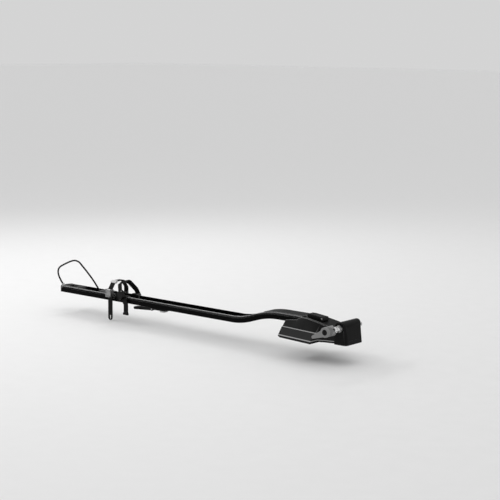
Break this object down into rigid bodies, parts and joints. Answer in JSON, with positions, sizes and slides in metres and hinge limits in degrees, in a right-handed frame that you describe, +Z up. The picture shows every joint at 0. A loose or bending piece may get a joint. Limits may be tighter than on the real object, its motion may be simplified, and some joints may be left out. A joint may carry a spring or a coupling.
{
  "type": "roof mounted bike carrier",
  "caption": "Fork mount bike carrier for roof crossbars: head with quick-release axle and cam lever, bent wheel rail, buckled wheel straps, stowed cable lock",
  "frame": {"origin": "middle of the front foot's underside, where it rests on the top of the front crossbar", "axes": "+X forward along the rail towards the fork head, +Y to the left, +Z up"},
  "size_m": [1.3576, 0.2225, 0.1915],
  "materials": {
    "rail_black": "satin black anodised extrusion",
    "cover_grey": "fine grained dark grey moulding",
    "moulding_black": "fine grained black moulding",
    "lid_black": "satin black moulding",
    "rubber_black": "matt black rubber",
    "cast_aluminium": "plain die casting",
    "zinc_steel": "zinc plated steel",
    "bright_steel": "bright plated steel",
    "lever_grey": "satin dark grey casting",
    "strap_black": "flexible black strap moulding",
    "pad_grey": "soft light grey pad",
    "buckle_grey": "satin silver grey metal",
    "cable_black": "black sleeve over steel cable"
  },
  "bodies": {
    "carrier": {"wheel_rail": "rail_black", "hump_cover": "cover_grey", "rail_screws": "zinc_steel", "tail_cap": "moulding_black", "tail_screws": "zinc_steel", "cable_ferrule": "zinc_steel", "foot_pad": "rubber_black", "head_base": "moulding_black", "head_cover": "moulding_black", "head_casting": "cast_aluminium", "fork_shell": "moulding_black", "front_bolts": "zinc_steel", "front_t_nuts": "zinc_steel", "lid_pin": "zinc_steel", "axle_tube": "bright_steel", "dropout_seats": "zinc_steel", "skewer": "bright_steel", "cam_collar": "bright_steel", "lock_cable": "cable_black", "cable_loop": "cable_black", "lock_body": "lid_black"},
    "lid": {"bolt_lid": "lid_black"},
    "lid_key": {"lid_lock": "bright_steel"},
    "lever": {"cam_lever": "lever_grey", "lever_pin": "zinc_steel"},
    "lever_key": {"lever_lock": "lid_black"},
    "nut": {"adjusting_nut": "zinc_steel"},
    "rear_clamp": {"rear_foot": "moulding_black", "rear_pad": "rubber_black", "rear_bolt": "zinc_steel", "rear_plate": "zinc_steel", "rear_nut": "zinc_steel", "clamp_pin": "zinc_steel"},
    "clamp_handle": {"clamp_lever": "lid_black"},
    "wheel_holder": {"strap_cradle": "moulding_black", "rear_strap": "strap_black", "front_strap": "strap_black", "rim_pad": "pad_grey", "rear_buckle": "buckle_grey", "front_buckle": "buckle_grey", "buckle_pins": "bright_steel", "strap_rivets": "zinc_steel"},
    "rear_latch": {"rear_buckle_lever": "buckle_grey"},
    "front_latch": {"front_buckle_lever": "lid_black"},
    "cable_key": {"lock_cylinder": "zinc_steel"}
  },
  "joints": [
    {"name": "lid_hinge", "type": "hinge", "parent": "carrier", "child": "lid", "pos_m": [-0.054, 0, 0.0675], "axis": [0, -1, 0], "range_deg": [0, 100]},
    {"name": "lid_key_turn", "type": "hinge", "parent": "lid", "child": "lid_key", "pos_m": [0.0065, -0.01, 0.0643], "axis": [0, -1, 0], "range_deg": [0, 90]},
    {"name": "lever_cam", "type": "hinge", "parent": "carrier", "child": "lever", "pos_m": [0.1, -0.096, 0.052], "axis": [-0.4067, 0, 0.9135], "range_deg": [0, 80]},
    {"name": "lever_key_turn", "type": "hinge", "parent": "lever", "child": "lever_key", "pos_m": [0.1, -0.115, 0.052], "axis": [0, -1, 0], "range_deg": [0, 90]},
    {"name": "nut_turn", "type": "hinge", "parent": "carrier", "child": "nut", "pos_m": [0.1, 0.066, 0.052], "axis": [0, 1, 0], "continuous": true},
    {"name": "rear_foot_slide", "type": "slide", "parent": "carrier", "child": "rear_clamp", "axis": [1, 0, 0], "range_m": [-0.018, 0.06]},
    {"name": "clamp_lever_swing", "type": "hinge", "parent": "rear_clamp", "child": "clamp_handle", "pos_m": [-0.744, 0, -0.002], "axis": [0, -1, 0], "range_deg": [0, 75]},
    {"name": "wheel_holder_slide", "type": "slide", "parent": "carrier", "child": "wheel_holder", "axis": [1, 0, 0], "range_m": [0, 0.035]},
    {"name": "rear_latch_swing", "type": "hinge", "parent": "wheel_holder", "child": "rear_latch", "pos_m": [-0.922, -0.0467, 0.048], "axis": [-1, 0, 0], "range_deg": [0, 110]},
    {"name": "front_latch_swing", "type": "hinge", "parent": "wheel_holder", "child": "front_latch", "pos_m": [-0.87032, -0.0467, 0.04475], "axis": [-0.8192, 0, -0.5736], "range_deg": [0, 110]},
    {"name": "cable_key_turn", "type": "hinge", "parent": "carrier", "child": "cable_key", "pos_m": [-0.962, -0.009, 0.028], "axis": [0, 0, 1], "range_deg": [0, 90]}
  ]
}
